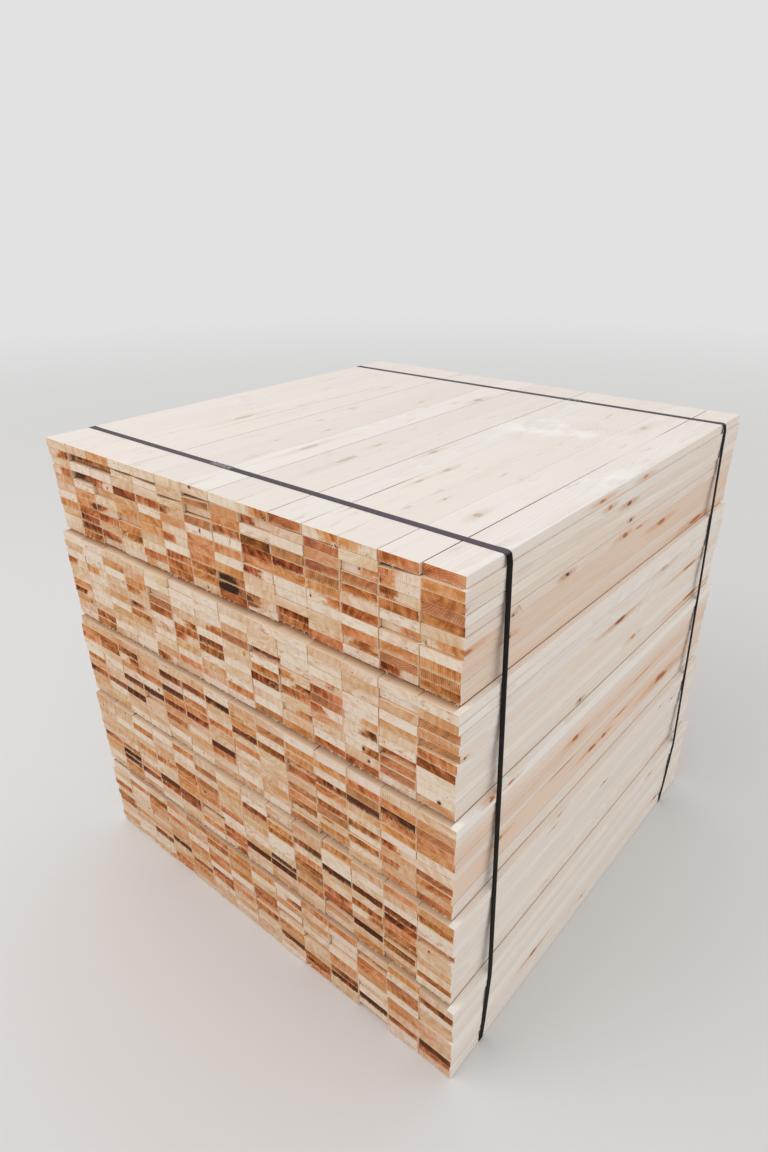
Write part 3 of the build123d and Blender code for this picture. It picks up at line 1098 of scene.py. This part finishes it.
# Where the pale patches lie on top, from 0 at a patch's edge to 1 in its middle.
def frostAttribute(piece, tier, layer):
    frost = [0.0] * len(piece.data.vertices)
    if (tier, layer) == topLayer:
        for index, point in enumerate(piece.data.vertices):
            for x, y, radius in frostPatches:
                away = math.hypot(point.co.x - x, point.co.y - y) / radius
                frost[index] = max(frost[index], 1 - away * away)
    piece.data.attributes.new("frost", "FLOAT", "POINT").data.foreach_set("value", frost)


# How open the joint to the right of a column is at a place along the boards.
def jointOpening(tier, layer, column, y, near):
    least, fade = boardShape["seamLeast"], boardShape["seamFade"]
    if (tier, layer) != topLayer:
        return min(1.0, least + random.Random(tier * 613 + layer * 37 + column).random() ** 2)
    opening = least + boardShape["seamWander"] * max(0.0, noise.noise((column * 5.3, y * 4.0, 0.0)))
    for start, end, share in topJoints.get(column, []):
        opening = max(opening, share * min(1.0, max(0.0, 1 - max(start - y, y - end) / fade)))
    return max(opening, min(1.0, 1 - (y - near) / fade))


# Moves the sides of neighbouring boards towards each other where their joint is nearly shut.
def closeJoints(piece, tier, layer, spans):
    margin = boardShape["seamMargin"]
    for column, (span, nextSpan) in enumerate(zip(spans, spans[1:]), 1):
        right, left = span.right, nextSpan.left
        for point in piece.data.vertices:
            co = point.co
            if right - margin < co.x < left + margin:
                shut = (left - right) / 2 * (1 - jointOpening(tier, layer, column, co.y, span.near))
                co.x = co.x + (shut if co.x < (left + right) / 2 else -shut)


bakeMap = {  # share of the map's height for each kind of face, by whether the layer's tops are in view
    "rows": 5,
    "across": 3,
    "margin": 0.0012,
    "hidden": {"near": 0.40, "far": 0.28, "outer": 0.10, "top": 0.08, "bottom": 0.07, "inner": 0.07},
    "ledge": {"near": 0.34, "far": 0.22, "outer": 0.10, "top": 0.24, "bottom": 0.05, "inner": 0.05},
    "open": {"near": 0.20, "far": 0.12, "outer": 0.08, "top": 0.54, "bottom": 0.03, "inner": 0.03},
}


def faceKind(facing, column):
    if abs(facing.y) > 0.5:
        return "near" if facing.y < 0 else "far"
    if abs(facing.x) > 0.5:
        return "outer" if column == (1 if facing.x < 0 else stack["columns"]) else "inner"
    return "top" if facing.z > 0 else "bottom"


# The low and high corners of the strip or cell of the map that a kind of face is laid into.
def bakeCell(kind, column, isLeft, shares):
    kinds = list(shares)
    base = sum(shares[name] for name in kinds[:kinds.index(kind)])
    if kind in ("near", "far"):
        row, place = divmod(column - 1, bakeMap["across"])
        high, wide = shares[kind] / bakeMap["rows"], 1 / bakeMap["across"]
        low = (place * wide, base + row * high)
        return low, (low[0] + wide, low[1] + high)
    side = 0 if isLeft else 1
    strips, index = {
        "outer": (2, side),
        "inner": (2 * stack["columns"], 2 * (column - 1) + side),
    }.get(kind, (stack["columns"], column - 1))
    high = shares[kind] / strips
    return (0.0, base + index * high), (1.0, base + (index + 1) * high)


# Lays every face flat into its own strip, so that the ends in view get most of the map.
def layBakeMap(piece, tier, layer, spans, low, high):
    inView = "open" if (tier, layer) == topLayer else "ledge" if layer == stack["layers"] else "hidden"
    margin = bakeMap["margin"]
    mesh = piece.data
    found = [0.0] * (2 * len(mesh.loops))
    for face in mesh.polygons:
        column, span = boardOf(face, spans)
        kind, isLeft = faceKind(face.normal, column), face.normal.x < 0
        (u0, v0), (u1, v1) = bakeCell(kind, column, isLeft, bakeMap[inView])
        inset = min(margin, (v1 - v0) * 0.2)
        for loop in face.loop_indices:
            co = mesh.vertices[mesh.loops[loop].vertex_index].co
            across = (co.x - span.left) / (span.right - span.left)
            along = (co.y - span.near) / (span.far - span.near)
            up = (co.z - low) / (high - low)
            u = across if kind in ("near", "far") else along
            v = across if kind in ("top", "bottom") else up
            u, v = min(max(u, 0.0), 1.0), min(max(v, 0.0), 1.0)
            if kind in ("far", "top") or (kind in ("outer", "inner") and isLeft):
                u = 1 - u  # seen from outside, no face is laid mirrored
            found[2 * loop] = u0 + margin + u * (u1 - u0 - 2 * margin)
            found[2 * loop + 1] = v0 + inset + v * (v1 - v0 - 2 * inset)
    mesh.uv_layers.new(name="OFBake").data.foreach_set("uv", found)


# Cuts the long side between its marks, so that each face has its own nearest one.
def cutBetweenMarks(piece, tier, layer, lastEdge, high):
    board = (tier, layer, stack["columns"])
    placed = [place for marked, place, _, _ in shownMarks if marked == board]
    along = sorted(y for _, y, z in placed if abs(y) < 0.59 and z < high)

    def onLongSide(face):
        return face.normal.x > 0.5 and face.center.x > lastEdge

    for first, second in zip(along, along[1:]):
        cutFaces(piece, onLongSide, (0, (first + second) / 2, 0), (0, 1, 0))


# Cuts the outer top boards where the straps dent them.
def cutAtStraps(piece, firstEdge, lastEdge):
    def onOuterBoard(face):
        return not firstEdge < face.center.x < lastEdge

    for place in strapPlaces:
        for side in (-1, 1):
            for step in (strapBend["dentHalf"], strapBend["dentHalf"] + strapBend["dentFade"]):
                cutFaces(piece, onOuterBoard, (0, place + side * step, 0), (0, 1, 0))


def boardLayer(tier, layer):
    node = f"tier_{tier}_layer_{layer:02d}"
    piece = copyOf(node, f"boards_{tier}_{layer:02d}")
    bpy.ops.mesh.dissolve_limited(angle_limit=math.radians(1))
    leaveEdit()
    spans = boardSpans(piece.data)
    layerSpans[tier, layer] = spans
    lowCorner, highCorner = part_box(node)
    low, high = lowCorner.z, highCorner.z
    onTop = layer == stack["layers"]
    firstEdge, lastEdge = spans[0].right, spans[-1].left

    def isShown(start, end):
        isOuter = start.x < firstEdge + 1e-4 or start.x > lastEdge - 1e-4
        return abs(start.y - end.y) > 0.1 and (onTop or isOuter)

    splitEdges(piece, boardShape["stripsAcross"] - 1, lambda start, end: abs(start.x - end.x) > 0.01)
    splitEdges(piece, boardShape["cutsAlong"], isShown)
    cutBetweenMarks(piece, tier, layer, lastEdge, high)
    if (tier, layer) == topLayer:
        cutAtStraps(piece, firstEdge, lastEdge)
    bevelSharp(piece, boardShape["bevel"], 1)
    unevenBoards(piece, tier, layer, spans, low, high)
    if (tier, layer) == topLayer:
        pressStraps(piece, spans, high)
    boardAttributes(piece, tier, layer, spans, low, high)
    frostAttribute(piece, tier, layer)
    layBakeMap(piece, tier, layer, spans, low, high)
    closeJoints(piece, tier, layer, spans)
    piece.data.materials.append(longFaceFinish)
    piece.data.materials.append(endGrainFinish)
    for face in piece.data.polygons:
        face.material_index = 1 if abs(face.normal.y) > 0.8 else 0
    onlyThis(piece)
    bpy.ops.object.shade_smooth_by_angle(angle=math.radians(25))
    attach(piece, "root")
    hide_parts(node)


for tier in range(stack["tiers"], 0, -1):
    for layer in range(1, stack["layers"] + 1):
        boardLayer(tier, layer)
    print("boards of tier", tier)


splinterShape = {
    "tone": srgb(244, 228, 204),
    "darkTone": srgb(220, 172, 120),
    "kinds": 4,
    "slivers": 5,
    "sides": 3,
    "root": 0.0008,  # radius where a sliver leaves the board
    "tip": 0.0002,
    "shortest": 0.0040,
    "longest": 0.0110,
    "sunk": 0.0014,
    "alongTier": 80,  # tufts under each tier's lowest boards
    "elsewhere": 60,
    "inset": 0.004,  # least distance from the stack's sides
    "sizes": (0.5, 1.1),
    "sizesElsewhere": (0.4, 0.9),
    "smallest": 0.25,
    "standsOut": 0.0090,  # how far a tuft of size 1 reaches from its board, at most
    "rootIn": 0.0009,  # how deep a tuft's root sits in the near end
    "rootInSide": 0.0006,
}

# Tufts that stand out in the photograph, as X, Z and size: at the near end
shownTufts = [
    (-0.0228, 0.7390, 2.4), (-0.5930, 0.9000, 2.2), (-0.3260, 0.9820, 1.7), (0.1500, 1.0990, 1.8),
    (0.3210, 1.1400, 1.6), (0.4130, 1.1020, 1.7), (0.4950, 1.0100, 2.4), (0.2480, 1.0400, 1.5),
]
sideTufts = [(-0.4426, 1.0453, 2.0), (-0.2883, 1.0415, 1.8)]  # on the long side, as Y, Z and size


def splinterMaterial():
    material, tree, shader = newMaterial("torn_fibres")
    place = addNode(tree, "TexCoord", "Object")
    tone = speckle(place, 60.0)
    tones = [(0.35, splinterShape["tone"]), (0.7, splinterShape["darkTone"])]
    feed(shader.inputs["Base Color"], ramp(tone, tones))
    feed(shader.inputs["Roughness"], soften(tone, 0.3, 0.7, 0.75, 0.9))
    shader.inputs["Specular IOR Level"].default_value = 0.2
    relieved(shader, 0.2, 0.0002, speckle(place, 2500.0))
    return material


# Joins the objects into one, with its place in its mesh.
def joined(pieces):
    for piece in pieces:
        piece.select_set(True)
    bpy.context.view_layer.objects.active = pieces[0]
    bpy.ops.object.join()
    bpy.ops.object.transform_apply(location=True, rotation=True, scale=True)
    return bpy.context.object


# A tuft of torn fibres that points at -Y, with its root at the origin.
def tuftModel(number):
    chance = random.Random(number * 17 + 3)
    slivers = []
    for _ in range(splinterShape["slivers"]):
        aim = (chance.uniform(-0.8, 0.8), -chance.uniform(0.35, 0.8), chance.uniform(-1.0, 0.1))
        aim = Vector(aim).normalized()
        length = chance.uniform(splinterShape["shortest"], splinterShape["longest"])
        root = Vector((chance.uniform(-0.003, 0.003), 0.0, chance.uniform(-0.0006, 0.0006)))
        bpy.ops.mesh.primitive_cone_add(
            vertices=splinterShape["sides"], radius1=splinterShape["root"], radius2=splinterShape["tip"],
            depth=length, location=root + aim * (length / 2 - splinterShape["sunk"]),
            rotation=aim.to_track_quat("Z", "Y").to_euler())
        slivers.append(bpy.context.object)
    return joined(slivers)


def nearEnd(tier, layer, x):
    return min(layerSpans[tier, layer], key=lambda span: abs((span.left + span.right) / 2 - x)).near


# The place, turn and size of every tuft of a tier.
def tuftPlaces(tier, lowest, chance):
    left = layerSpans[tier, 1][0].left + splinterShape["inset"]
    right = layerSpans[tier, 1][-1].right - splinterShape["inset"]
    places = []
    for _ in range(splinterShape["alongTier"]):
        x, size = chance.uniform(left, right), chance.uniform(*splinterShape["sizes"])
        places.append((x, nearEnd(tier, 1, x), lowest + 0.0032, 0.0, size))
    for _ in range(splinterShape["elsewhere"]):
        layer = chance.randint(2, stack["layers"])
        x, size = chance.uniform(left, right), chance.uniform(*splinterShape["sizesElsewhere"])
        z = lowest + (layer - 1) * stack["thickness"] + 0.002
        places.append((x, nearEnd(tier, layer, x), z, 0.0, size))
    for tufts, onSide in ((shownTufts, False), (sideTufts, True)):
        for place, z, size in tufts:
            layer = int((z - lowest) / stack["thickness"]) + 1
            if not 1 <= layer <= stack["layers"]:
                continue
            if onSide:
                places.append((layerSpans[tier, layer][-1].right, place, z, math.radians(90), size))
            else:
                places.append((place, nearEnd(tier, layer, place), z, 0.0, size))
    return places


def tierTufts(tier, models):
    chance = random.Random(tier * 41)
    lowest = (tier - 1) * stack["layers"] * stack["thickness"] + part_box("tier_1_layer_01")[0].z
    bpy.ops.object.select_all(action="DESELECT")
    copies = []
    for x, y, z, turn, size in tuftPlaces(tier, lowest, chance):
        atNearEnd = turn == 0.0
        room = abs(cadBox[0][1]) - 0.0004 + y if atNearEnd else 1.0  # stays inside the CAD box
        size = min(size, room / splinterShape["standsOut"])
        if size < splinterShape["smallest"]:
            continue
        z = max(z, splinterShape["longest"] * size)
        copy = bpy.data.objects.new("tuft", chance.choice(models).data.copy())
        bpy.context.scene.collection.objects.link(copy)
        x, y = (x, y + splinterShape["rootIn"]) if atNearEnd else (x - splinterShape["rootInSide"], y)
        placed = Matrix.Translation((x, y, z)) @ Matrix.Rotation(turn, 4, "Z")
        roll = Matrix.Rotation(chance.uniform(-0.6, 0.6), 4, "Y")
        copy.matrix_world = placed @ roll @ Matrix.Scale(size, 4)
        copies.append(copy)
    piece = joined(copies)
    piece.name = f"torn_fibres_{tier}"
    piece.data.materials.append(splinterFinish)
    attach(piece, "root")
    return piece


splinterFinish = splinterMaterial()
tuftModels = [tuftModel(number) for number in range(splinterShape["kinds"])]
tuftPieces = [tierTufts(tier, tuftModels) for tier in range(1, stack["tiers"] + 1)]
for model in tuftModels:
    bpy.data.objects.remove(model)
print("torn fibres made", sum(len(piece.data.polygons) for piece in tuftPieces))


strapLook = {
    "thickness": 0.0009,
    "lapFrom": 1.1572,
    "lapReach": 0.4,
    "weldPale": srgb(160, 152, 154),
    "weldDark": srgb(40, 34, 36),
    "bevel": 0.00025,
    "colour": srgb(15, 11, 8),
    "scuff": srgb(46, 40, 38),
    "skyReflection": srgb(98, 90, 98),  # painted sky reflection on the upper side
    "roughness": 0.6,
}


# A mask of faces that look up, broken by fine specks, where the strap gets its painted sky reflection.
def skyReflectionGroup():
    group, (place, normal), results = newGroup("skyReflection", {"Place": "Vector", "Normal": "Vector"}, ["Dust"])
    fine = speckle(place, 420.0, 3.0, 0.6)
    feed(results["Dust"], soften(parts(normal)[2], 0.45, 0.95) * soften(fine, 0.3, 0.6, 0.62, 1.0))
    return group


def strapMaterial():
    material, tree, shader = newMaterial("strap_plastic")
    place = addNode(tree, "TexCoord", "Object")
    skyReflection = useGroup(skyReflectionGroup(), Place=place, Normal=addNode(tree, "NewGeometry", "Normal"))[0]
    scuffs = speckle(place * (60.0, 700.0, 60.0), 1.0, 3.0, 0.6)
    colour = blend(soften(scuffs, 0.5, 0.8, 0.0, 0.35), strapLook["colour"], strapLook["scuff"])
    # Painted reflection: the upper side paler, as if it mirrored the sky
    colour = blend(skyReflection, colour, strapLook["skyReflection"])
    weld = attribute(tree, "weld")
    scales = addNode(tree, "TexVoronoi", "Distance", {"Vector": place * (210.0, 320.0, 1.0), "Scale": 1.0})
    scales = scales * weld
    colour = blend(weld * 0.65, colour, strapLook["weldDark"])
    colour = blend(soften(scales, 0.3, 0.55, 0.0, 0.85), colour, strapLook["weldPale"])
    feed(shader.inputs["Base Color"], colour)
    feed(shader.inputs["Roughness"], soften(scuffs, 0.3, 0.7, strapLook["roughness"], 0.75))
    shader.inputs["Specular IOR Level"].default_value = 0.12
    inputs = {"Vector": place, "Scale": 260.0, "Distortion": 0.0}
    waffle = addNode(tree, "TexWave", "Fac", inputs, bands_direction="DIAGONAL")
    relieved(shader, 0.3, 0.0002, added(waffle, scales, 3.0))
    return material


strapFinish = strapMaterial()


def eased(share):
    return share * share * (3 - 2 * share)


# The path of a strap's inner side round a top corner, from the top to the side, and its middle.
def cornerPath(cornerX, cornerZ, lowerX, outwards):
    rampSteps, bendSteps, sideSteps = (strapBend[name] for name in ("rampSteps", "bendSteps", "sideSteps"))
    startX = cornerX + outwards * (strapBend["bulge"] - strapBend["across"])
    centreZ = cornerZ + strapBend["lift"] - strapBend["down"]
    points = []
    for step in range(rampSteps):
        share = step / rampSteps
        x = cornerX - outwards * strapBend["rampTop"] * (1 - share) + (startX - cornerX) * share
        points.append((x, cornerZ + strapBend["lift"] * eased(share)))
    for step in range(bendSteps + 1):
        angle = math.radians(90 - 90 / bendSteps * step)
        x = startX + outwards * strapBend["across"] * math.cos(angle)
        points.append((x, centreZ + strapBend["down"] * math.sin(angle)))
    bulge = points[-1][0] - lowerX(centreZ)
    for step in range(1, sideSteps + 1):
        share = step / sideSteps
        z = centreZ + (cornerZ - strapBend["rampSide"] - centreZ) * share
        points.append((lowerX(z) + bulge * (1 - eased(share)), z))
    lengths = [0.0]
    for start, end in zip(points, points[1:]):
        lengths.append(lengths[-1] + math.dist(start, end))
    return points, lengths, lengths[rampSteps + bendSteps // 2]


def alongPath(points, lengths, distance):
    distance = min(max(distance, 0.0), lengths[-1])
    index = next(i for i in range(1, len(lengths)) if lengths[i] >= distance - 1e-9)
    share = (distance - lengths[index - 1]) / (lengths[index] - lengths[index - 1])
    start, end = points[index - 1], points[index]
    length = math.dist(start, end)
    stepX, stepZ = end[0] - start[0], end[1] - start[1]
    return (start[0] + stepX * share, start[1] + stepZ * share), (stepX / length, stepZ / length)


# Rounds a top corner of a strap: the corner's own small arc becomes one fold, which is
# cut into strips that are laid along a wider bend.
def roundedCorner(piece, outwards):
    thick = strapLook["thickness"]
    vertices = piece.data.vertices
    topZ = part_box("tier_5_layer_11")[1].z
    atTop = [point.co.x for point in vertices if abs(point.co.z - topZ) < 2e-5]
    cornerX = max(atTop, key=lambda x: x * outwards)

    def inArc(co, side):
        out = (co.x - cornerX) * outwards
        isNear = out > -1e-5 and co.z > topZ - 0.0005 and abs(co.y - side) < 1e-4
        return isNear and math.hypot(out, co.z - topZ) > thick * 0.5

    for side in [limit(point.co.y for point in vertices) for limit in (min, max)]:
        pick(piece, "VERT", lambda point: inArc(point.co, side))
        bpy.ops.mesh.merge(type="CENTER")
        leaveEdit()
    places = [point.co.copy() for point in piece.data.vertices]
    lower = [co for co in places if (co.x - cornerX) * outwards > 0 and topZ - co.z > 0.01]
    below = min(lower, key=lambda co: (round(topZ - co.z, 3), co.x * outwards))
    slope = (below.x - cornerX) / (topZ - below.z)

    def lowerX(z):
        return cornerX + slope * min(topZ - z, topZ - below.z)

    def onTop(face):
        return face.center.z > topZ - 0.002

    def onSide(face):
        return (face.center.x - cornerX) * outwards > -0.002

    for step in strapBend["cuts"]:
        cutFaces(piece, onTop, (cornerX - outwards * step, 0, 0), (1, 0, 0))
        cutFaces(piece, onSide, (0, 0, topZ - step), (0, 0, 1))
    points, lengths, middle = cornerPath(cornerX, topZ, lowerX, outwards)
    for point in piece.data.vertices:
        co = point.co
        inwards, down = (cornerX - co.x) * outwards, topZ - co.z
        if down < 0.0002 and -0.0002 < inwards < strapBend["rampTop"]:
            height, distance = -down, middle - inwards * middle / strapBend["rampTop"]
        elif inwards < 0.001 and -0.001 < down < strapBend["rampSide"]:
            height = thick if abs(co.x - lowerX(co.z)) > thick * 0.5 or down < 0 else 0.0
            distance = middle + max(0.0, down) * (lengths[-1] - middle) / strapBend["rampSide"]
        else:
            continue
        place, ahead = alongPath(points, lengths, distance)
        co.x = place[0] - ahead[1] * height * outwards
        co.z = place[1] + ahead[0] * height * outwards


def refinedStrap(node):
    piece = copyOf(node, node.replace("strap", "band"))
    bpy.ops.mesh.tris_convert_to_quads()
    leaveEdit()
    for outwards in (-1, 1):
        roundedCorner(piece, outwards)
    bevelSharp(piece, strapLook["bevel"], 2)
    bpy.ops.object.mode_set(mode="EDIT")
    bpy.ops.mesh.select_all(action="SELECT")
    bpy.ops.mesh.dissolve_degenerate(threshold=2e-5)
    leaveEdit()
    lap = []
    for face in piece.data.polygons:
        isLap = face.center.z > strapLook["lapFrom"] and abs(face.center.x) < strapLook["lapReach"]
        lap.append(1.0 if isLap else 0.0)
    piece.data.attributes.new("weld", "FLOAT", "FACE").data.foreach_set("value", lap)
    piece.data.materials.append(strapFinish)
    bpy.ops.object.shade_smooth_by_angle(angle=math.radians(30))
    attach(piece, "root")
    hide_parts(node)


for strap in ("strap_near", "strap_far"):
    refinedStrap(strap)
print("straps made")


studio = {
    "floorRadius": 14.0,
    "floorSides": 96,
    "floorFade": (3.0, 12.0),  # distances between which the floor turns into the background
    "floorColour": srgb(224, 223, 222),
    "background": srgb(226, 226, 226),
    "worldStrength": 0.84,
    "lampPlace": (-1.6, -3.4, 4.6),
    "lampAim": (0, 0, 0.6),
    "lampSize": 4.0,
    "lampPower": 65.0,
}


def mixedShaders(share, first, second):
    return feedAll(treeOf(share).nodes.new("ShaderNodeMixShader"), (share, first, second))


def studioFloor():
    bpy.ops.object.select_all(action="DESELECT")
    bpy.ops.mesh.primitive_circle_add(
        vertices=studio["floorSides"], radius=studio["floorRadius"], fill_type="NGON", location=(0, 0, 0))
    floor = bpy.context.object
    floor.name = "studio_floor"
    material, tree, shader = newMaterial("studio_floor")
    far = soften(combine("LENGTH", addNode(tree, "TexCoord", "Object")), *studio["floorFade"])
    shader.inputs["Base Color"].default_value = studio["floorColour"]
    shader.inputs["Roughness"].default_value = 0.9
    shader.inputs["Specular IOR Level"].default_value = 0.1
    glow = addNode(tree, "Emission", 0, {"Color": studio["background"], "Strength": 1.0})
    output = next(node for node in tree.nodes if node.type == "OUTPUT_MATERIAL")
    feed(output.inputs["Surface"], mixedShaders(far, Out(shader.outputs[0]), glow))
    floor.data.materials.append(material)


def studioLight():
    world = bpy.data.worlds.new("studio")
    bpy.context.scene.world = world
    world.use_nodes = True
    tree = world.node_tree
    tree.nodes.clear()
    camera = addNode(tree, "LightPath", "Is Camera Ray")
    seen = combine("MAXIMUM", camera, camera.beside("Is Glossy Ray"))
    seen = combine("MAXIMUM", seen, camera.beside("Is Transmission Ray"))
    white = (1.0, 1.0, 1.0, 1.0)
    light = addNode(tree, "Background", 0, {"Color": white, "Strength": studio["worldStrength"]})
    shown = addNode(tree, "Background", 0, {"Color": studio["background"], "Strength": 1.0})
    output = tree.nodes.new("ShaderNodeOutputWorld")
    feed(output.inputs["Surface"], mixedShaders(seen, light, shown))
    lamp = bpy.data.lights.new("soft_lamp", "AREA")
    lamp.shape = "DISK"
    lamp.size = studio["lampSize"]
    lamp.energy = studio["lampPower"]
    lampObject = bpy.data.objects.new("soft_lamp", lamp)
    bpy.context.scene.collection.objects.link(lampObject)
    lampObject.location = studio["lampPlace"]
    aim = Vector(studio["lampAim"]) - Vector(studio["lampPlace"])
    lampObject.rotation_euler = aim.to_track_quat("-Z", "Y").to_euler()


viewpoint = {
    "place": (1.1322, -1.4278, 1.6399),
    "turn": math.radians(40.377),
    "down": math.radians(25.89),
    "roll": math.radians(-0.479),
    "lens": 24.082,
    "sensor": 36.0,
}


def photoCamera():
    camera = bpy.data.cameras.new("camera")
    camera.sensor_fit = "VERTICAL"
    camera.sensor_height = viewpoint["sensor"]
    camera.lens = viewpoint["lens"]
    cameraObject = bpy.data.objects.new("camera", camera)
    bpy.context.scene.collection.objects.link(cameraObject)
    turned = Matrix.Rotation(viewpoint["turn"], 4, "Z")
    turned = turned @ Matrix.Rotation(math.pi / 2 - viewpoint["down"], 4, "X")
    rolled = turned @ Matrix.Rotation(viewpoint["roll"], 4, "Z")
    cameraObject.matrix_world = Matrix.Translation(viewpoint["place"]) @ rolled
    bpy.context.scene.camera = cameraObject


studioFloor()
studioLight()
photoCamera()
bpy.context.scene.view_settings.view_transform = "Standard"
print("floor, light and camera set")
